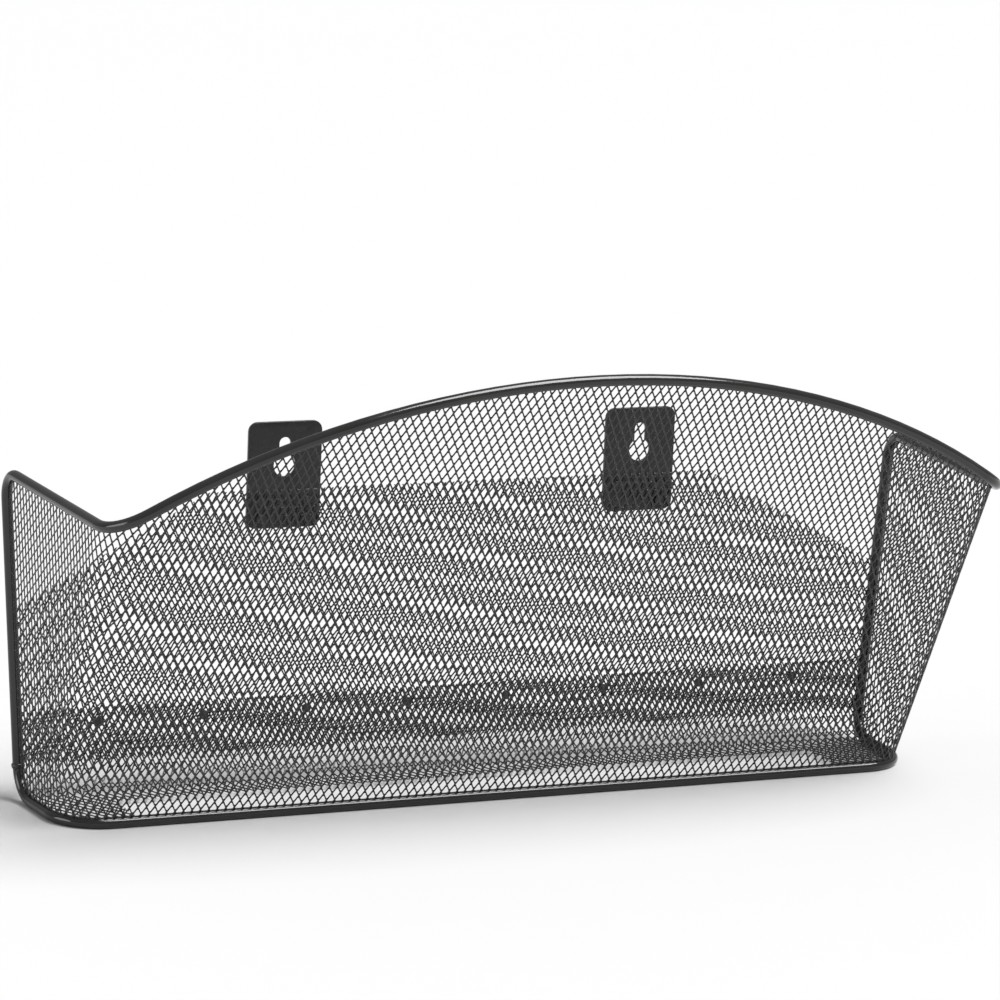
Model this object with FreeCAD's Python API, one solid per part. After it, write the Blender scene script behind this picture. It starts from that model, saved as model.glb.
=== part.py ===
import FreeCAD, Part
import math
import os

# Wall-hung mesh file pocket: a painted steel wire frame filled in with fine expanded-metal mesh.
# Lengths are in millimetres. +X runs across the rack, +Y points into the wall and +Z is up.
# The rack is drawn with the bottom wire's centreline at z = 0 and the wall at y = 0. It is then
# lowered, so that the origin ends up midway between the two hanger keyholes, on the wall.

V = FreeCAD.Vector

# Frame wire
WIRE_R = 2.25
BACK_Y = -WIRE_R
BOTTOM_HALF_WIDTH = 190.5
BOTTOM_DEPTH = 51.5
REAR_HEIGHT = 133.0
FRONT_HEIGHT = 129.5
END_FLARE = math.tan(math.radians(3.7))
END_TOE_IN = math.tan(math.radians(2.9))
LEAN_ANGLE = math.radians(24.5)
FRONT_LEAN = math.tan(LEAN_ANGLE)
FRONT_CORNER_R = 20.0
REAR_TOP_R = 11.0
REAR_BOTTOM_R = 12.0

# Wave of the front rim: it leaves each front corner at a slope and climbs to one round crest
WAVE_SLOPE = math.radians(33.3)
RIM_CORNER_R = 20.0

# Mesh sheets
MESH_T = 0.5
BACK_MESH_Y = BACK_Y + MESH_T / 2
BACK_END_HEIGHT = 76.0
BACK_SLOPE = math.tan(math.radians(28.0))
BACK_TOP = 120.0
LEDGE_DEPTH = 19.5
SLOT_HALF_LENGTH = 157.0
FLANGE_LAP = 22.0

# Hanger plates
PLATE_X = 80.0
PLATE_W = 32.0
PLATE_T = 1.5
PLATE_LOW = 104.0
PLATE_HIGH = 148.0
PLATE_CORNER_R = 4.0
KEYHOLE_HEIGHT = 130.0
KEYHOLE_R = 4.75
NECK_R = 2.5
NECK_RISE = 9.0
WELD_R = 2.0
WELD_T = 0.5


def end_x(y, z):
    """Half width of the frame at a depth and a height."""
    return BOTTOM_HALF_WIDTH + z * END_FLARE + (y - BACK_Y) * END_TOE_IN


def front_y(z):
    """Where the leaning front stands at a height."""
    return BACK_Y - BOTTOM_DEPTH - z * FRONT_LEAN


def corner_point(angle, z, radius):
    """Point on the left front corner's bend; the angle runs from the end to the front."""
    toe = math.atan(END_TOE_IN)
    cy = front_y(z) + FRONT_CORNER_R
    cx = -end_x(cy, z) + FRONT_CORNER_R / math.cos(toe)
    turn = math.pi + toe + angle
    return V(cx + radius * math.cos(turn), cy + radius * math.sin(turn), z)


CORNER_TURN = math.pi / 2 - math.atan(END_TOE_IN)


def mirrored(point):
    return V(-point.x, point.y, point.z)


def rounded(before, corner, after, radius):
    """Start, middle and end of the arc that rounds a corner between two straight runs."""
    a = (before - corner).normalize()
    b = (after - corner).normalize()
    half = a.getAngle(b) / 2
    reach = radius / math.tan(half)
    centre = corner + (a + b).normalize() * (radius / math.sin(half))
    middle = centre + (corner - centre).normalize() * radius
    return corner + a * reach, middle, corner + b * reach


def arc(points):
    return Part.Arc(*points).toShape()


def swept(edges, start, direction):
    """Round wire bent along a path."""
    path = Part.Wire(edges)
    section = Part.Wire(Part.makeCircle(WIRE_R, start, direction))
    return path.makePipeShell([section], True, False)


def rear_low_corner():
    bottom = V(-end_x(BACK_Y, 0), BACK_Y, 0)
    top = V(-end_x(BACK_Y, REAR_HEIGHT), BACK_Y, REAR_HEIGHT)
    front = V(-end_x(front_y(0), 0), front_y(0), 0)
    return rounded(top, bottom, front, REAR_BOTTOM_R)


def rim_wire():
    """Both uprights, both end rims and the wavy front rim are one bent wire."""
    foot = rear_low_corner()[0]
    top = V(-end_x(BACK_Y, REAR_HEIGHT), BACK_Y, REAR_HEIGHT)
    front_top = front_y(FRONT_HEIGHT)
    front = V(-end_x(front_top, FRONT_HEIGHT), front_top, FRONT_HEIGHT)
    up_front = V(0, -math.sin(LEAN_ANGLE), math.cos(LEAN_ANGLE))
    climb = V(1, 0, 0) * math.cos(WAVE_SLOPE) + up_front * math.sin(WAVE_SLOPE)
    rear_bend = rounded(foot, top, front, REAR_TOP_R)
    front_bend = rounded(top, front, front + climb * 100, RIM_CORNER_R)
    start = front_bend[2]
    rise = -start.x * math.tan(WAVE_SLOPE / 2)
    crest = V(0, start.y, start.z) + up_front * rise
    left = [
        Part.makeLine(foot, rear_bend[0]),
        arc(rear_bend),
        Part.makeLine(rear_bend[2], front_bend[0]),
        arc(front_bend),
    ]
    right = [
        arc([mirrored(p) for p in reversed(front_bend)]),
        Part.makeLine(mirrored(front_bend[0]), mirrored(rear_bend[2])),
        arc([mirrored(p) for p in reversed(rear_bend)]),
        Part.makeLine(mirrored(rear_bend[0]), mirrored(foot)),
    ]
    wave = arc([start, crest, mirrored(start)])
    return swept(left + [wave] + right, foot, rear_bend[0] - foot)


def bottom_wire():
    """The U of wire under the rack, with its ends turned up to meet the uprights."""
    bend = rear_low_corner()
    corner = [corner_point(CORNER_TURN * step / 2, 0, FRONT_CORNER_R) for step in range(3)]
    left = [
        arc(bend),
        Part.makeLine(bend[2], corner[0]),
        arc(corner),
    ]
    right = [
        arc([mirrored(p) for p in reversed(corner)]),
        Part.makeLine(mirrored(corner[0]), mirrored(bend[2])),
        arc([mirrored(p) for p in reversed(bend)]),
    ]
    front = Part.makeLine(corner[2], mirrored(corner[2]))
    end = rear_low_corner()[0]
    upright = V(-END_FLARE, 0, 1)
    return swept(left + [front] + right, end, upright)


def joint_welds(neighbours):
    """A bead of weld round each butt joint of the two frame wires, filed flush at the wall."""
    welds = []
    for side in (-1, 1):
        end = rear_low_corner()[0]
        centre = V(-side * end.x, end.y, end.z)
        axis = V(side * END_FLARE, 0, 1).normalize()
        bead = Part.makeCylinder(WIRE_R + 0.35, 2.4, centre - axis * 1.2, axis)
        wall = Part.makeBox(20.0, 5.0, 20.0, centre - V(10.0, centre.y, 10.0))
        welds += bead.cut(neighbours + [wall]).Solids
    return Part.makeCompound(welds)


def wrap_section(z, offset):
    """Outline of the end-front-end sheet at one height, moved out by an offset."""
    radius = FRONT_CORNER_R + offset
    bend = [corner_point(CORNER_TURN * step / 2, z, radius) for step in range(3)]
    rear_y = BACK_Y + 1.0
    slant = math.sqrt(1 + END_TOE_IN ** 2)
    rear = V(-end_x(rear_y, z) - offset * slant, rear_y, z)
    return Part.Wire([
        Part.makeLine(rear, bend[0]),
        arc(bend),
        Part.makeLine(bend[2], mirrored(bend[2])),
        arc([mirrored(p) for p in reversed(bend)]),
        Part.makeLine(mirrored(bend[0]), mirrored(rear)),
        Part.makeLine(mirrored(rear), rear),
    ])


def inside_frame(sheet, frame):
    """The part of a sheet that the frame wires close round."""
    pieces = sheet.cut(frame).Solids
    return max(pieces, key=lambda piece: piece.Volume)


def wrap_mesh(frame):
    """Ends and front are one sheet of mesh, bent round the two front corners."""
    low = -5.0
    high = REAR_HEIGHT + 65.0
    skins = []
    for offset in (MESH_T / 2, -MESH_T / 2):
        sections = [wrap_section(low, offset), wrap_section(high, offset)]
        skins.append(Part.makeLoft(sections, True, True))
    return inside_frame(skins[0].cut(skins[1]), frame)


def back_mesh(frame):
    """Flat mesh between the uprights, with a peaked top edge that carries the hanger plates."""
    reach = 215.0
    slope_run = (BACK_TOP - BACK_END_HEIGHT) / BACK_SLOPE
    shoulder = end_x(BACK_Y, BACK_END_HEIGHT) - slope_run
    outline = [
        V(-reach, BACK_MESH_Y, REAR_BOTTOM_R),
        V(reach, BACK_MESH_Y, REAR_BOTTOM_R),
        V(reach, BACK_MESH_Y, BACK_TOP - (reach - shoulder) * BACK_SLOPE),
        V(shoulder, BACK_MESH_Y, BACK_TOP),
        V(-shoulder, BACK_MESH_Y, BACK_TOP),
        V(-reach, BACK_MESH_Y, BACK_TOP - (reach - shoulder) * BACK_SLOPE),
    ]
    face = Part.Face(Part.makePolygon(outline + outline[:1]))
    return inside_frame(face.extrude(V(0, MESH_T, 0)), frame)


def floor_mesh(frame):
    """Floor sheet, its bend up the wires' rear corners, and the flange that laps the back mesh."""
    reach = 215.0
    beyond = front_y(0) - 10.0
    top = REAR_BOTTOM_R + FLANGE_LAP
    centre = V(-reach, BACK_Y - REAR_BOTTOM_R, REAR_BOTTOM_R)
    diagonal = V(0, 1, -1).normalize()
    edges = []
    for offset in (MESH_T / 2, -MESH_T / 2):
        r = REAR_BOTTOM_R + offset
        edges.append([
            centre + V(0, r, top - REAR_BOTTOM_R),
            centre + V(0, r, 0),
            centre + diagonal * r,
            centre + V(0, 0, -r),
            V(-reach, beyond, -offset),
        ])
    outer, inner = edges
    profile = Part.Wire([
        Part.makeLine(outer[0], outer[1]),
        arc(outer[1:4]),
        Part.makeLine(outer[3], outer[4]),
        Part.makeLine(outer[4], inner[4]),
        Part.makeLine(inner[4], inner[3]),
        arc([inner[3], inner[2], inner[1]]),
        Part.makeLine(inner[1], inner[0]),
        Part.makeLine(inner[0], outer[0]),
    ])
    sheet = Part.Face(profile).extrude(V(2 * reach, 0, 0))
    slot_back = BACK_Y - LEDGE_DEPTH
    slot = Part.makeBox(2 * SLOT_HALF_LENGTH, slot_back - beyond + 5.0, 4.0,
                        V(-SLOT_HALF_LENGTH, beyond - 5.0, -2.0))
    return inside_frame(sheet.cut(slot), frame)


def hanger_plate(x):
    """Flat steel plate with a keyhole, welded to the wall side of the back mesh."""
    height = PLATE_HIGH - PLATE_LOW
    plate = Part.makeBox(PLATE_W, PLATE_T, height, V(x - PLATE_W / 2, -PLATE_T, PLATE_LOW))
    upright_edges = [edge for edge in plate.Edges if abs(edge.BoundBox.YLength - PLATE_T) < 0.01]
    plate = plate.makeFillet(PLATE_CORNER_R, upright_edges)
    low = V(x, -PLATE_T, KEYHOLE_HEIGHT)
    entry = Part.makeCylinder(KEYHOLE_R, PLATE_T, low, V(0, 1, 0))
    top = Part.makeCylinder(NECK_R, PLATE_T, low + V(0, 0, NECK_RISE), V(0, 1, 0))
    neck = Part.makeBox(2 * NECK_R, PLATE_T, NECK_RISE, low - V(NECK_R, 0, 0))
    return plate.cut(entry.fuse([top, neck]))


def spot_welds(places, face_y):
    """Flat nuggets of spot weld on the pocket side of a sheet."""
    spots = []
    for x, z in places:
        spots.append(Part.makeCylinder(WELD_R, WELD_T, V(x, face_y, z), V(0, -1, 0)))
    return Part.makeCompound(spots)


def plate_welds():
    places = []
    for x in (-PLATE_X, PLATE_X):
        for across in (-10.0, 10.0):
            for z in (PLATE_LOW + 4.0, PLATE_LOW + 11.0):
                places.append((x + across, z))
    return spot_welds(places, BACK_Y + MESH_T / 2)


def flange_welds():
    height = REAR_BOTTOM_R + FLANGE_LAP - 6.0
    places = [(-157.5 + 45.0 * step, height) for step in range(8)]
    return spot_welds(places, BACK_Y - MESH_T / 2)


rim = rim_wire()
bottom = bottom_wire()
frame_wires = rim.fuse(bottom)
wrap = wrap_mesh(frame_wires)
back = back_mesh(frame_wires)
floor = floor_mesh(frame_wires)

parts = {
    "rim_and_upright_wire": rim,
    "bottom_wire": bottom,
    "wire_joint_welds": joint_welds([frame_wires, wrap, back, floor]),
    "front_and_end_mesh": wrap,
    "back_mesh": back,
    "floor_mesh": floor,
    "left_hanger_plate": hanger_plate(-PLATE_X),
    "right_hanger_plate": hanger_plate(PLATE_X),
    "hanger_plate_spot_welds": plate_welds(),
    "floor_flange_spot_welds": flange_welds(),
}

os.makedirs("parts", exist_ok=True)
for name, shape in parts.items():
    shape.translated(V(0, 0, -KEYHOLE_HEIGHT)).exportStep("parts/" + name + ".step")
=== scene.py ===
import bpy
import bmesh
import math
import numpy as np
from mathutils import Matrix


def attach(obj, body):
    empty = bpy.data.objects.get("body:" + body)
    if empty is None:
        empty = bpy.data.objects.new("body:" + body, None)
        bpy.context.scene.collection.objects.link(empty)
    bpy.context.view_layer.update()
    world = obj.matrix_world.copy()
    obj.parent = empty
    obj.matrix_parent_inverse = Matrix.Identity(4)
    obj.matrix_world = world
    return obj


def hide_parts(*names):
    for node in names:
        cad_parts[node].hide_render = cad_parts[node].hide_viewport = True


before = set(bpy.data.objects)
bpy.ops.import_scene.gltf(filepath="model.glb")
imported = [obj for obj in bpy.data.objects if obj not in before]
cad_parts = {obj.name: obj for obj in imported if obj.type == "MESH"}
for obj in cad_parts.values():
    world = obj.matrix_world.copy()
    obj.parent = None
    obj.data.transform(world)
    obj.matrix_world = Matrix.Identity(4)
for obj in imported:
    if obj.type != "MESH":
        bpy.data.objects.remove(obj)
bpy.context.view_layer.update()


# --- Rim and upright wire, and bottom wire --------------------------------------------------
# Two lengths of 4.5 mm mild steel wire, bent cold in a jig. The upper one makes both uprights,
# both end rims and the wave over the front; the lower one is the U under the pocket. The whole
# welded frame is finished in one baked coat of black powder.

def new_effect(name, inputs, outputs):
    """An empty shader node group with named sockets."""
    group = bpy.data.node_groups.new(name, "ShaderNodeTree")
    for socket, kind, value in inputs:
        made = group.interface.new_socket(socket, in_out="INPUT", socket_type=kind)
        made.default_value = value
    for socket, kind in outputs:
        group.interface.new_socket(socket, in_out="OUTPUT", socket_type=kind)
    group.nodes.new("NodeGroupInput")
    group.nodes.new("NodeGroupOutput")
    return group


def wire_up(tree, links):
    """Joins sockets, each link given as (from node, output, to node, input)."""
    for source, output, target, socket in links:
        tree.links.new(source.outputs[output], target.inputs[socket])


def add_node(group, kind, **values):
    """A node whose sockets are set by name, with underscores for spaces."""
    node = group.nodes.new(kind)
    for name, value in values.items():
        node.inputs[name.replace("_", " ")].default_value = value
    return node


def noise_between(group, place, scale, low, high):
    """Noise over the Object coordinates, stretched so that low and high become 0 and 1."""
    noise = add_node(group, "ShaderNodeTexNoise", Scale=scale, Detail=3.0)
    span = add_node(group, "ShaderNodeMapRange", From_Min=low, From_Max=high)
    wire_up(group, [(place, "Object", noise, "Vector"), (noise, "Fac", span, "Value")])
    return span


def powder_coat_effect():
    """Orange peel, mottled film, pin-prick specks, and dust that lies on what faces up."""
    group = new_effect(
        "powder coat surface",
        [("Base", "NodeSocketColor", (0.02, 0.02, 0.02, 1)),
         ("Peel Scale", "NodeSocketFloat", 900.0),
         ("Peel Depth", "NodeSocketFloat", 0.3),
         ("Roughness", "NodeSocketFloat", 0.35),
         ("Dust", "NodeSocketFloat", 0.1)],
        [("Colour", "NodeSocketColor"),
         ("Roughness", "NodeSocketFloat"),
         ("Normal", "NodeSocketVector")])
    ins = group.nodes["Group Input"]
    outs = group.nodes["Group Output"]
    place = group.nodes.new("ShaderNodeTexCoord")
    peel = add_node(group, "ShaderNodeTexNoise", Detail=2.0)
    bump = add_node(group, "ShaderNodeBump", Distance=0.00012)
    mottle = noise_between(group, place, scale=55.0, low=0.25, high=0.75)
    film = add_node(group, "ShaderNodeMapRange", To_Min=0.80, To_Max=1.22)
    shade = group.nodes.new("ShaderNodeMix")
    shade.data_type = "RGBA"
    shade.blend_type = "MULTIPLY"
    shade.inputs["Factor"].default_value = 1.0
    rough = group.nodes.new("ShaderNodeMath")
    rough.operation = "MULTIPLY"
    geometry = group.nodes.new("ShaderNodeNewGeometry")
    facing = group.nodes.new("ShaderNodeSeparateXYZ")
    upward = add_node(group, "ShaderNodeMapRange", From_Min=0.5)
    speck = noise_between(group, place, scale=2400.0, low=0.56, high=0.72)
    settled = group.nodes.new("ShaderNodeMath")
    settled.operation = "MULTIPLY"
    dust = group.nodes.new("ShaderNodeMath")
    dust.operation = "MULTIPLY"
    dusty = group.nodes.new("ShaderNodeMix")
    dusty.data_type = "RGBA"
    dusty.inputs["B"].default_value = (0.30, 0.29, 0.27, 1)
    wire_up(group, [
        (place, "Object", peel, "Vector"),
        (ins, "Peel Scale", peel, "Scale"),
        (peel, "Fac", bump, "Height"),
        (ins, "Peel Depth", bump, "Strength"),
        (mottle, "Result", film, "Value"),
        (ins, "Base", shade, "A"),
        (film, "Result", shade, "B"),
        (ins, "Roughness", rough, 0),
        (film, "Result", rough, 1),
        (geometry, "Normal", facing, "Vector"),
        (facing, "Z", upward, "Value"),
        (upward, "Result", settled, 0),
        (speck, "Result", settled, 1),
        (settled, "Value", dust, 0),
        (ins, "Dust", dust, 1),
        (dust, "Value", dusty, "Factor"),
        (shade, "Result", dusty, "A"),
        (dusty, "Result", outs, "Colour"),
        (rough, "Value", outs, "Roughness"),
        (bump, "Normal", outs, "Normal"),
    ])
    return group


POWDER_COAT = powder_coat_effect()


def black_powder_coat(name, base, peel_scale, peel_depth, roughness, dust):
    """Black powder coat on steel, with its own film thickness, gloss and dust."""
    material = bpy.data.materials.new(name)
    material.use_nodes = True
    tree = material.node_tree
    paint = tree.nodes["Principled BSDF"]
    coat = tree.nodes.new("ShaderNodeGroup")
    coat.node_tree = POWDER_COAT
    coat.inputs["Base"].default_value = (*base, 1)
    coat.inputs["Peel Scale"].default_value = peel_scale
    coat.inputs["Peel Depth"].default_value = peel_depth
    coat.inputs["Roughness"].default_value = roughness
    coat.inputs["Dust"].default_value = dust
    wire_up(tree, [
        (coat, "Colour", paint, "Base Color"),
        (coat, "Roughness", paint, "Roughness"),
        (coat, "Normal", paint, "Normal"),
    ])
    return material


def finish_with(piece, material):
    """Makes one material the piece's only one."""
    piece.data.materials.clear()
    piece.data.materials.append(material)


BLACK = (0.012, 0.012, 0.0115)
WIRE_COAT = black_powder_coat(
    "black powder coat on wire", BLACK, peel_scale=1100.0, peel_depth=0.10, roughness=0.13, dust=0.06)
finish_with(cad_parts["rim_and_upright_wire"], WIRE_COAT)
finish_with(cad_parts["bottom_wire"], WIRE_COAT)


# --- Front and end mesh ---------------------------------------------------------------------
# One sheet of expanded steel, slit and stretched into diamonds, bent round the two front
# corners and welded inside the wires. It is cut from a flat blank and then bent up, and its
# strands run on from the front into both ends.

DIAMOND_W = 0.00359
DIAMOND_H = 0.00698
STRAND_W = 0.00056
STRAND_T = 0.00056
BLUNT_END = 0.17

BASE_Z = -0.130
BACK_Y = -0.00225
HALF_WIDTH = 0.1905
BOTTOM_DEPTH = 0.0515
REAR_HEIGHT = 0.133
FRONT_HEIGHT = 0.1295
FLARE = math.tan(math.radians(3.7))
TOE_IN = math.tan(math.radians(2.9))
LEAN = math.radians(24.5)
CORNER_R = 0.020
CORNER_TURN = math.pi / 2 - math.atan(TOE_IN)
REAR_LOW_R = 0.012
REAR_TOP_R = 0.011
RIM_CORNER_R = 0.020
WAVE_SLOPE = math.radians(33.3)
SEAT = 0.0008
WAVE_SIDES = 16
BEND_STEPS = 48
BLANK_HALF_WIDTH = 0.2
FRONT_BLANK_HEIGHT = 0.22
CUT_TOLERANCE = 1e-7


def only(piece):
    """Makes one piece the only one selected, and the active one."""
    bpy.ops.object.select_all(action="DESELECT")
    piece.select_set(True)
    bpy.context.view_layer.objects.active = piece


def apply_modifiers(piece):
    """Makes the piece's modifiers part of its mesh, first to last."""
    only(piece)
    for modifier in list(piece.modifiers):
        bpy.ops.object.modifier_apply(modifier=modifier.name)


def diamond_cell():
    """Half the width of the strands round one hole, whose two ends are blunt with paint."""
    slant = math.hypot(DIAMOND_W, DIAMOND_H)
    clear = 1 - STRAND_W * slant / (DIAMOND_W * DIAMOND_H)
    near = BLUNT_END
    far = 1 - BLUNT_END
    hole = [(1, 0), (near, far), (-near, far), (-1, 0), (-near, -far), (near, -far)]
    middles = [(1, 0), (0, 1), (0, 1), (-1, 0), (0, -1), (0, -1)]
    bpy.ops.object.select_all(action="DESELECT")
    bpy.ops.mesh.primitive_circle_add(vertices=6, radius=1)
    cell = bpy.context.object
    for vertex, (x, y) in zip(cell.data.vertices, hole):
        vertex.co = (x * clear, y * clear, 0)
    bpy.ops.object.mode_set(mode="EDIT")
    bpy.ops.mesh.select_all(action="SELECT")
    bpy.ops.mesh.extrude_edges_move()
    shape = bmesh.from_edit_mesh(cell.data)
    for vertex in shape.verts:
        if vertex.select:
            gaps = [math.hypot(x * clear - vertex.co.x, y * clear - vertex.co.y) for x, y in hole]
            vertex.co = (*middles[gaps.index(min(gaps))], 0)
    bmesh.update_edit_mesh(cell.data)
    bpy.ops.mesh.select_all(action="SELECT")
    bpy.ops.mesh.remove_doubles(threshold=0.001)
    bpy.ops.mesh.normals_make_consistent(inside=False)
    bpy.ops.object.mode_set(mode="OBJECT")
    ridge = cell.vertex_groups.new(name="middle of strand")
    for vertex in cell.data.vertices:
        on_middle = abs(vertex.co.x) + abs(vertex.co.y) > 0.99
        ridge.add([vertex.index], float(on_middle), "REPLACE")
    cell.data.transform(Matrix.Diagonal((DIAMOND_W / 2, DIAMOND_H / 2, 1, 1)))
    return cell


def flat_blank(low, high):
    """Flat expanded mesh over a box; every blank has its diamonds on one lattice."""
    cell = diamond_cell()
    bpy.ops.object.duplicate()
    bpy.context.object.data.transform(Matrix.Translation((DIAMOND_W / 2, DIAMOND_H / 2, 0)))
    cell.select_set(True)
    bpy.context.view_layer.objects.active = cell
    bpy.ops.object.join()
    first = [math.floor(low[0] / DIAMOND_W) - 1, math.floor(low[1] / DIAMOND_H) - 1]
    last = [math.ceil(high[0] / DIAMOND_W) + 1, math.ceil(high[1] / DIAMOND_H) + 1]
    for axis, step in enumerate(((DIAMOND_W, 0, 0), (0, DIAMOND_H, 0))):
        rows = cell.modifiers.new("repeat", "ARRAY")
        rows.use_relative_offset = False
        rows.use_constant_offset = True
        rows.constant_offset_displace = step
        rows.count = last[axis] - first[axis]
    apply_modifiers(cell)
    cell.data.transform(Matrix.Translation((first[0] * DIAMOND_W, first[1] * DIAMOND_H, 0)))
    bpy.ops.object.mode_set(mode="EDIT")
    bpy.ops.mesh.select_all(action="SELECT")
    bpy.ops.mesh.remove_doubles(threshold=1e-5)
    bpy.ops.object.mode_set(mode="OBJECT")
    return cell


def shear(blank, cuts):
    """Cuts the flat blank along lines from point to point, keeping what lies left of each."""
    only(blank)
    bpy.ops.object.mode_set(mode="EDIT")
    for a, b in cuts:
        bpy.ops.mesh.select_all(action="SELECT")
        bpy.ops.mesh.bisect(plane_co=(a[0], a[1], 0), plane_no=(b[1] - a[1], a[0] - b[0], 0),
                            clear_outer=True, threshold=CUT_TOLERANCE)
    bpy.ops.object.mode_set(mode="OBJECT")


def keep_above(height):
    """A level cut right across the blank that drops what is below it."""
    return ((-1, height), (1, height))


def keep_below(height):
    """A level cut right across the blank that drops what is above it."""
    return ((1, height), (-1, height))


def along(points):
    """Cuts from each point to the next."""
    return list(zip(points, points[1:]))


def mirror_cuts(cuts):
    """The same cuts on the other half of the rack."""
    return [((-b[0], b[1]), (-a[0], a[1])) for a, b in cuts]


def bend_up(sheet, place):
    """Moves each point of the flat sheet to where the bent sheet has it."""
    flat = np.empty(len(sheet.data.vertices) * 3)
    sheet.data.vertices.foreach_get("co", flat)
    flat = flat.reshape(-1, 3)
    sheet.data.vertices.foreach_set("co", place(flat[:, 0], flat[:, 1]).ravel())
    sheet.data.update()


def raise_strands(sheet, name, node):
    """Gives the strands their thickness, with a ridge along the middle, and finishes the sheet."""
    thickness = sheet.modifiers.new("strand thickness", "SOLIDIFY")
    thickness.thickness = STRAND_T
    thickness.offset = 0
    thickness.vertex_group = "middle of strand"
    thickness.thickness_vertex_group = 0.5
    apply_modifiers(sheet)
    sheet.vertex_groups.clear()
    bpy.ops.object.shade_smooth()
    sheet.name = name
    sheet.data.name = name
    finish_with(sheet, MESH_COAT)
    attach(sheet, "root")
    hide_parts(node)


def end_x(y, z):
    """How far the right end stands from the middle, at a depth and a height above the floor."""
    return HALF_WIDTH + z * FLARE + (y - BACK_Y) * TOE_IN


def front_y(z):
    """Where the leaning front stands, at a height above the floor."""
    return BACK_Y - BOTTOM_DEPTH - z * math.tan(LEAN)


def corner_base(angle):
    """Left front corner's bend at floor height; the angle runs from the front to the end."""
    toe = math.atan(TOE_IN)
    centre_y = front_y(0) + CORNER_R
    centre_x = -end_x(centre_y, 0) + CORNER_R / math.cos(toe)
    turn = math.pi + toe + CORNER_TURN - angle
    return [centre_x + CORNER_R * math.cos(turn), centre_y + CORNER_R * math.sin(turn), 0.0]


# The corner's bend unrolled: a straight line up it, its rise and width along the bend, and the
# directions that lead on from it along the end and in the flat blank.
corner_line = np.array([TOE_IN * math.tan(LEAN) - FLARE, -math.tan(LEAN), 1.0])
corner_line /= np.linalg.norm(corner_line)
bend = np.array([corner_base(CORNER_TURN * k / BEND_STEPS) for k in range(BEND_STEPS + 1)])
bend_rise = (bend - bend[0]) @ corner_line
bend_steps = np.diff(bend, axis=0)
bend_steps -= np.outer(bend_steps @ corner_line, corner_line)
bend_width = np.concatenate([[0], np.cumsum(np.linalg.norm(bend_steps, axis=1))])
rearward = np.array([-TOE_IN, 1.0, 0.0])
rearward -= (rearward @ corner_line) * corner_line
rearward /= np.linalg.norm(rearward)
flat_root = np.array([bend[0][0], 0.0])
flat_up = np.array([corner_line[0], math.sqrt(1 - corner_line[0] ** 2)])
flat_left = np.array([-flat_up[1], flat_up[0]])


def bent_wrap(u, v):
    """Place of a point of the blank: u runs across the front and v up it from the floor."""
    half = np.where(u > 0, -1.0, 1.0)
    offset = np.stack([u * half, v], 1) - flat_root
    up = offset @ flat_up
    past = offset @ flat_left
    reach = np.clip(past, 0, bend_width[-1])
    base = np.stack([np.interp(reach, bend_width, bend[:, k]) for k in range(3)], 1)
    rise = np.interp(reach, bend_width, bend_rise)
    beyond = np.maximum(past - bend_width[-1], 0)
    bent = base + (up - rise)[:, None] * corner_line + beyond[:, None] * rearward
    front = np.stack([u * half, front_y(0) - v * math.sin(LEAN), v * math.cos(LEAN)], 1)
    placed = np.where((past <= 0)[:, None], front, bent)
    placed[:, 0] *= half
    placed[:, 2] += BASE_Z
    return placed


def unrolled(point):
    """Place in the blank of a point on the left end."""
    past = bend_width[-1] + (point - bend[-1]) @ rearward
    up = (point - bend[-1]) @ corner_line + bend_rise[-1]
    return flat_root + up * flat_up + past * flat_left


def rounded(before, corner, after, radius, steps):
    """Points along the arc that rounds the corner between two straight runs."""
    a = (before - corner) / np.linalg.norm(before - corner)
    b = (after - corner) / np.linalg.norm(after - corner)
    half = math.acos(a @ b) / 2
    centre = corner + (a + b) / np.linalg.norm(a + b) * radius / math.sin(half)
    start = corner + a * radius / math.tan(half) - centre
    end = corner + b * radius / math.tan(half) - centre
    sweep = math.pi - 2 * half
    arc = []
    for step in range(steps + 1):
        turn = sweep * step / steps
        spoke = (start * math.sin(sweep - turn) + end * math.sin(turn)) / math.sin(sweep)
        arc.append(centre + spoke)
    return arc


floor_front = np.array([-end_x(front_y(0), 0), front_y(0), 0])
floor_rear = np.array([-end_x(BACK_Y, 0), BACK_Y, 0])
top_rear = np.array([-end_x(BACK_Y, REAR_HEIGHT), BACK_Y, REAR_HEIGHT])
top_y = front_y(FRONT_HEIGHT)
top_front = np.array([-end_x(top_y, FRONT_HEIGHT), top_y, FRONT_HEIGHT])
rear_low_bend = rounded(top_rear, floor_rear, floor_front, REAR_LOW_R, 5)
rear_top_bend = rounded(floor_rear, top_rear, top_front, REAR_TOP_R, 5)
climb = np.array([math.cos(WAVE_SLOPE),
                  -math.sin(LEAN) * math.sin(WAVE_SLOPE),
                  math.cos(LEAN) * math.sin(WAVE_SLOPE)])
wave_start = rounded(top_rear, top_front, top_front + climb, RIM_CORNER_R, 1)[-1]
wave_r = -wave_start[0] / math.sin(WAVE_SLOPE)
wave_low = wave_start[2] / math.cos(LEAN) - wave_r * math.cos(WAVE_SLOPE)
wave_turns = [WAVE_SLOPE * (1 - 2 * k / WAVE_SIDES) for k in range(WAVE_SIDES + 1)]
wave = [(wave_r * math.sin(turn), wave_low + wave_r * math.cos(turn)) for turn in wave_turns]
mid_bend = flat_root + flat_left * bend_width[-1] / 2
left_seam = [(mid_bend, mid_bend - flat_up)]

MESH_COAT = black_powder_coat(
    "black powder coat on mesh", BLACK, peel_scale=2600.0, peel_depth=0.15, roughness=0.24, dust=0.05)

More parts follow.
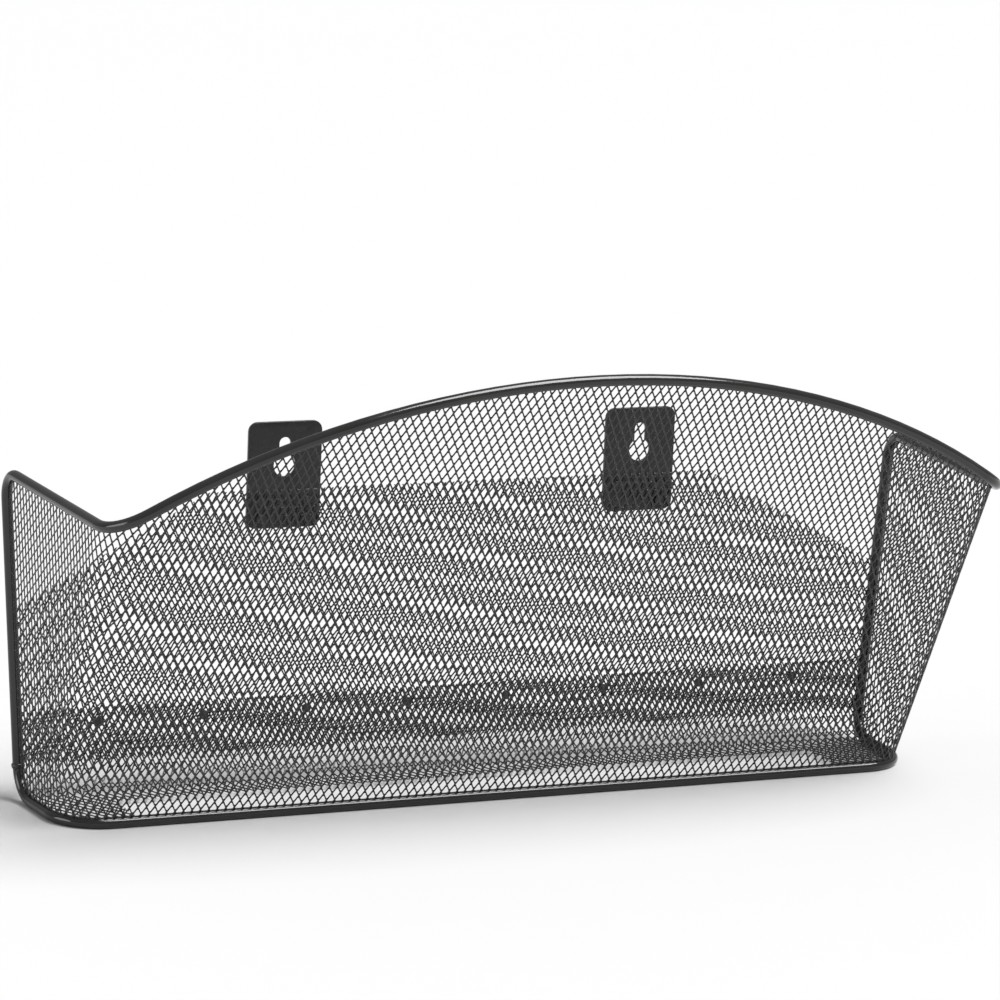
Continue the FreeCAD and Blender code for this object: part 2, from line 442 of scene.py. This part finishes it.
front = flat_blank((-BLANK_HALF_WIDTH, -SEAT), (BLANK_HALF_WIDTH, FRONT_BLANK_HEIGHT))
shear(front, [keep_above(-SEAT)] + left_seam + mirror_cuts(left_seam) + along(wave))
bend_up(front, bent_wrap)
raise_strands(front, "front_mesh", "front_and_end_mesh")

seated = [point - corner_line * SEAT for point in rear_low_bend + [floor_front]]
left_edge = [unrolled(point) for point in [top_front] + rear_top_bend[::-1] + seated]
left_cuts = along(left_edge) + [(b, a) for a, b in left_seam]
low = np.min(left_edge, axis=0)
high = np.max(left_edge, axis=0)
left_end = flat_blank(low, high)
shear(left_end, left_cuts)
bend_up(left_end, bent_wrap)
raise_strands(left_end, "left_end_mesh", "front_and_end_mesh")

right_end = flat_blank((-high[0], low[1]), (-low[0], high[1]))
shear(right_end, mirror_cuts(left_cuts))
bend_up(right_end, bent_wrap)
raise_strands(right_end, "right_end_mesh", "front_and_end_mesh")


# --- Back mesh ------------------------------------------------------------------------------
# A flat sheet of the same expanded steel between the two uprights. Its top edge is left raw:
# it rises from each upright to the level stretch that carries the hanger plates.

BACK_SHEET_Y = -0.00178
BACK_LOW = 0.012
BACK_TOP = 0.120
BACK_END_HEIGHT = 0.076
BACK_SLOPE = math.radians(28.0)


def upright_back(u, v):
    """Place of a point of the back's blank, v running up from the floor."""
    return np.stack([u, np.full_like(u, BACK_SHEET_Y), v + BASE_Z], 1)


back_end = (-end_x(BACK_Y, BACK_END_HEIGHT), BACK_END_HEIGHT)
shoulder = (back_end[0] + (BACK_TOP - BACK_END_HEIGHT) / math.tan(BACK_SLOPE), BACK_TOP)
upright = [(-end_x(BACK_Y, BACK_TOP), BACK_TOP), (-HALF_WIDTH, 0)]
left_back = [(shoulder, back_end), tuple(upright)]
back = flat_blank((-BLANK_HALF_WIDTH, BACK_LOW), (BLANK_HALF_WIDTH, BACK_TOP))
shear(back, [keep_above(BACK_LOW), keep_below(BACK_TOP)] + left_back + mirror_cuts(left_back))
bend_up(back, upright_back)
raise_strands(back, "expanded_back_mesh", "back_mesh")


# --- Floor mesh -----------------------------------------------------------------------------
# The floor sheet is a ledge along the back and a tongue at each end, with an open slot between
# them behind the front wire. It bends up at the back into a flange that laps the back mesh.

SLOT_HALF_LENGTH = 0.157
LEDGE_DEPTH = 0.0195
FLANGE_LAP = 0.022
FLANGE_CLEARANCE = 0.0001
FLOOR_RUN = BOTTOM_DEPTH - REAR_LOW_R
FLOOR_BEND = REAR_LOW_R * math.pi / 2
CORNER_CUT_STEPS = 8


def bent_floor(u, v):
    """Place of a point of the floor's blank, v running back from the front wire."""
    turn = np.clip((v - FLOOR_RUN) / REAR_LOW_R, 0, math.pi / 2)
    flange = np.maximum(v - FLOOR_RUN - FLOOR_BEND, 0)
    y = front_y(0) + np.minimum(v, FLOOR_RUN) + REAR_LOW_R * np.sin(turn) - FLANGE_CLEARANCE
    z = BASE_Z + REAR_LOW_R * (1 - np.cos(turn)) + flange
    return np.stack([u, y, z], 1)


flange_top = FLOOR_RUN + FLOOR_BEND + FLANGE_LAP
flange_end = (-end_x(BACK_Y, REAR_LOW_R + FLANGE_LAP), flange_top)
floor_end = (-end_x(front_y(0), 0), 0.0)
front_corner = [(x, y - front_y(0)) for x, y, z in bend[::-CORNER_CUT_STEPS]]
left_floor = [(flange_end, floor_end)] + along(front_corner)
floor = flat_blank((-BLANK_HALF_WIDTH, 0), (BLANK_HALF_WIDTH, flange_top))
shear(floor, [keep_above(0), keep_below(flange_top)] + left_floor + mirror_cuts(left_floor))
bpy.ops.object.mode_set(mode="EDIT")
slot_back = BOTTOM_DEPTH - LEDGE_DEPTH
slot_sides = (((-SLOT_HALF_LENGTH, 0, 0), (1, 0, 0)),
              ((SLOT_HALF_LENGTH, 0, 0), (1, 0, 0)),
              ((0, slot_back, 0), (0, 1, 0)))
for point, normal in slot_sides:
    bpy.ops.mesh.select_all(action="SELECT")
    bpy.ops.mesh.bisect(plane_co=point, plane_no=normal, threshold=CUT_TOLERANCE)
bpy.ops.mesh.select_all(action="DESELECT")
shape = bmesh.from_edit_mesh(floor.data)
for face in shape.faces:
    middle = face.calc_center_median()
    face.select = abs(middle.x) < SLOT_HALF_LENGTH and middle.y < slot_back
bmesh.update_edit_mesh(floor.data)
bpy.ops.mesh.delete(type="FACE")
bpy.ops.object.mode_set(mode="OBJECT")
bend_up(floor, bent_floor)
raise_strands(floor, "expanded_floor_mesh", "floor_mesh")


# --- Wire joint welds -----------------------------------------------------------------------
# A bead of MIG weld round each butt joint, where the bottom wire's turned-up ends meet the
# uprights. It is filed flush at the wall and lies under the powder coat.

WIRE_R = 0.00225
BEAD_R = 0.0007
BEAD_STRETCH = 1.7
BEAD_SINK = 0.0002
RIPPLES = 9
RIPPLE_RISE = 0.00018
RIPPLE_SWELL = 0.02
FILED_FACE_Y = -0.00015
WELD_COAT = black_powder_coat(
    "black powder coat on weld", (0.013, 0.013, 0.012),
    peel_scale=700.0, peel_depth=0.6, roughness=0.30, dust=0.10)

for side, name in ((-1, "left_wire_joint_weld"), (1, "right_wire_joint_weld")):
    bpy.ops.object.select_all(action="DESELECT")
    joint = (side * -rear_low_bend[0][0], BACK_Y, rear_low_bend[0][2] + BASE_Z)
    bpy.ops.mesh.primitive_torus_add(major_radius=WIRE_R - BEAD_SINK, minor_radius=BEAD_R,
                                     major_segments=40, minor_segments=12)
    bead = bpy.context.object
    bpy.ops.object.mode_set(mode="EDIT")
    bpy.ops.transform.resize(value=(1, 1, BEAD_STRETCH))
    bpy.ops.object.mode_set(mode="OBJECT")
    for vertex in bead.data.vertices:
        turn = math.atan2(vertex.co.y, vertex.co.x)
        vertex.co.z += RIPPLE_RISE * math.sin(RIPPLES * turn)
        vertex.co *= 1 + RIPPLE_SWELL * math.sin(2 * RIPPLES * turn)
    flare_turn = Matrix.Rotation(side * math.atan(FLARE), 4, "Y")
    bead.data.transform(Matrix.Translation(joint) @ flare_turn)
    bpy.ops.object.mode_set(mode="EDIT")
    bpy.ops.mesh.select_all(action="SELECT")
    bpy.ops.mesh.bisect(plane_co=(0, FILED_FACE_Y, 0), plane_no=(0, 1, 0),
                        clear_outer=True, use_fill=True)
    bpy.ops.object.mode_set(mode="OBJECT")
    bpy.ops.object.shade_smooth_by_angle(angle=math.radians(40))
    bead.name = name
    bead.data.name = name
    finish_with(bead, WELD_COAT)
    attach(bead, "root")
    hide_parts("wire_joint_welds")


# --- Hanger plates --------------------------------------------------------------------------
# Two stamped steel plates, spot-welded to the wall side of the back mesh. Each has a keyhole
# that drops over a screw head and rounded, deburred edges under the powder coat.

PLATE_X = 0.080
PLATE_W = 0.032
PLATE_T = 0.0015
PLATE_LOW = -0.026
PLATE_HIGH = 0.018
PLATE_CORNER_R = 0.004
KEYHOLE_R = 0.00475
NECK_R = 0.0025
NECK_RISE = 0.009
DEBURR_W = 0.00022
PUNCH_DEPTH = 4 * PLATE_T
PLATE_COAT = black_powder_coat(
    "black powder coat on plate", BLACK, peel_scale=800.0, peel_depth=0.3, roughness=0.28, dust=0.08)


def punch(plate, cutter):
    """Stamps a hole through the plate."""
    hole = plate.modifiers.new("hole", "BOOLEAN")
    hole.operation = "DIFFERENCE"
    hole.solver = "EXACT"
    hole.object = cutter
    apply_modifiers(plate)
    bpy.data.objects.remove(cutter)


for x, side in ((-PLATE_X, "left"), (PLATE_X, "right")):
    bpy.ops.object.select_all(action="DESELECT")
    bpy.ops.mesh.primitive_cube_add(size=1,
                                    location=(x, -PLATE_T / 2, (PLATE_LOW + PLATE_HIGH) / 2),
                                    scale=(PLATE_W, PLATE_T, PLATE_HIGH - PLATE_LOW))
    plate = bpy.context.object
    bpy.ops.object.transform_apply(location=True, rotation=True, scale=True)
    bpy.ops.object.mode_set(mode="EDIT")
    bpy.ops.mesh.select_all(action="DESELECT")
    bpy.ops.mesh.select_mode(type="EDGE")
    shape = bmesh.from_edit_mesh(plate.data)
    for edge in shape.edges:
        a, b = edge.verts
        edge.select = abs(a.co.y - b.co.y) > PLATE_T / 2
    bmesh.update_edit_mesh(plate.data)
    bpy.ops.mesh.bevel(offset=PLATE_CORNER_R, segments=8)
    bpy.ops.object.mode_set(mode="OBJECT")
    for radius, height in ((KEYHOLE_R, 0.0), (NECK_R, NECK_RISE)):
        bpy.ops.mesh.primitive_cylinder_add(vertices=48, radius=radius, depth=PUNCH_DEPTH,
                                            location=(x, -PLATE_T / 2, height),
                                            rotation=(math.pi / 2, 0, 0))
        punch(plate, bpy.context.object)
    bpy.ops.mesh.primitive_cube_add(size=1, location=(x, -PLATE_T / 2, NECK_RISE / 2),
                                    scale=(2 * NECK_R, PUNCH_DEPTH, NECK_RISE))
    punch(plate, bpy.context.object)
    deburr = plate.modifiers.new("deburred edge", "BEVEL")
    deburr.width = DEBURR_W
    deburr.segments = 3
    deburr.limit_method = "ANGLE"
    deburr.angle_limit = math.radians(40)
    apply_modifiers(plate)
    bpy.ops.object.shade_smooth_by_angle(angle=math.radians(35))
    plate.name = side + "_keyhole_plate"
    plate.data.name = plate.name
    finish_with(plate, PLATE_COAT)
    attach(plate, "root")
    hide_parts(side + "_hanger_plate")


# --- Spot welds -----------------------------------------------------------------------------
# Round nuggets left by the welding electrodes, where the back mesh is held to the plates and
# the floor's flange to the back mesh. Each is pressed flat, with a soft rim, under the paint.

NUGGET_R = 0.002
NUGGET_T = 0.0005
NUGGET_RIM_W = 0.00014
# Width and press of each ring of the nugget's face, from the rim inwards.
NUGGET_RINGS = ((0.00015, 0.0), (0.0004, 0.0), (0.0003, 0.00018), (0.0004, 0.00004))
PLATE_WELD_Y = -0.0020
PLATE_WELD_ACROSS = 0.010
PLATE_WELD_HEIGHTS = (-0.022, -0.015)
FLANGE_WELD_Y = -0.0025
FLANGE_WELD_Z = -0.102
FIRST_FLANGE_WELD_X = -0.1575
FLANGE_WELD_PITCH = 0.045

bpy.ops.object.select_all(action="DESELECT")
bpy.ops.mesh.primitive_cylinder_add(vertices=24, radius=NUGGET_R, depth=NUGGET_T,
                                    location=(0, -NUGGET_T / 2, 0), rotation=(math.pi / 2, 0, 0))
nugget = bpy.context.object
bpy.ops.object.transform_apply(location=True, rotation=True, scale=True)
bpy.ops.object.mode_set(mode="EDIT")
bpy.ops.mesh.select_mode(type="FACE")
bpy.ops.mesh.select_all(action="DESELECT")
shape = bmesh.from_edit_mesh(nugget.data)
for face in shape.faces:
    face.select = face.normal.y < -0.9
bmesh.update_edit_mesh(nugget.data)
for width, press in NUGGET_RINGS:
    bpy.ops.mesh.inset(thickness=width)
    bpy.ops.transform.translate(value=(0, press, 0))
bpy.ops.object.mode_set(mode="OBJECT")
soft_rim = nugget.modifiers.new("soft rim", "BEVEL")
soft_rim.width = NUGGET_RIM_W
soft_rim.segments = 2
soft_rim.limit_method = "ANGLE"
soft_rim.angle_limit = math.radians(50)
apply_modifiers(nugget)
bpy.ops.object.shade_smooth()

plate_spots = [(x + across, PLATE_WELD_Y, z)
               for x in (-PLATE_X, PLATE_X)
               for across in (-PLATE_WELD_ACROSS, PLATE_WELD_ACROSS)
               for z in PLATE_WELD_HEIGHTS]
flange_spots = [(FIRST_FLANGE_WELD_X + FLANGE_WELD_PITCH * step, FLANGE_WELD_Y, FLANGE_WELD_Z)
                for step in range(8)]
for kind, spots, node in (("plate_spot_weld", plate_spots, "hanger_plate_spot_welds"),
                          ("flange_spot_weld", flange_spots, "floor_flange_spot_welds")):
    for number, place in enumerate(spots):
        spot = nugget.copy()
        spot.data = nugget.data.copy()
        spot.data.transform(Matrix.Translation(place))
        spot.name = f"{kind}_{number + 1}"
        spot.data.name = spot.name
        bpy.context.collection.objects.link(spot)
        finish_with(spot, WELD_COAT)
        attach(spot, "root")
        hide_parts(node)
bpy.data.objects.remove(nugget)


# --- Studio ---------------------------------------------------------------------------------
# A pale floor under the rack and dim white surroundings. A wide soft light stands high in front
# and to the right, a weaker one is low on the left, and the lens is long.

FLOOR_Z = -0.13225

bpy.ops.object.select_all(action="DESELECT")
bpy.ops.mesh.primitive_plane_add(size=14, location=(0, 0, FLOOR_Z))
studio_floor = bpy.context.object
studio_floor.name = "studio_floor"
floor_paint = bpy.data.materials.new("pale studio floor")
floor_paint.use_nodes = True
matt = floor_paint.node_tree.nodes["Principled BSDF"]
matt.inputs["Base Color"].default_value = (0.50, 0.50, 0.50, 1)
matt.inputs["Roughness"].default_value = 0.9
finish_with(studio_floor, floor_paint)

surroundings = bpy.data.worlds.new("white surroundings")
surroundings.use_nodes = True
glow = surroundings.node_tree.nodes["Background"]
glow.inputs["Color"].default_value = (1, 1, 1, 1)
glow.inputs["Strength"].default_value = 0.35
bpy.context.scene.world = surroundings


def soft_light(name, turn, spread, power):
    """Even light from far away, as wide as a soft box looks from the rack."""
    light = bpy.data.lights.new(name, "SUN")
    light.angle = math.radians(spread)
    light.energy = power
    lamp = bpy.data.objects.new(name, light)
    lamp.rotation_euler = [math.radians(angle) for angle in turn]
    bpy.context.collection.objects.link(lamp)


soft_light("overhead soft light", (19, 20, 0), 42, 5.6)
soft_light("left soft light", (-4, -84, 0), 40, 1.5)

camera = bpy.data.cameras.new("camera")
camera.lens = 173.414
camera.sensor_width = 36.0
camera_place = bpy.data.objects.new("camera", camera)
camera_place.location = (-0.79941, -1.78416, 0.37149)
camera_place.rotation_euler = [math.radians(angle) for angle in (78.733, -2.343, -24.131)]
bpy.context.collection.objects.link(camera_place)
bpy.context.scene.camera = camera_place
bpy.context.scene.view_settings.view_transform = "Standard"
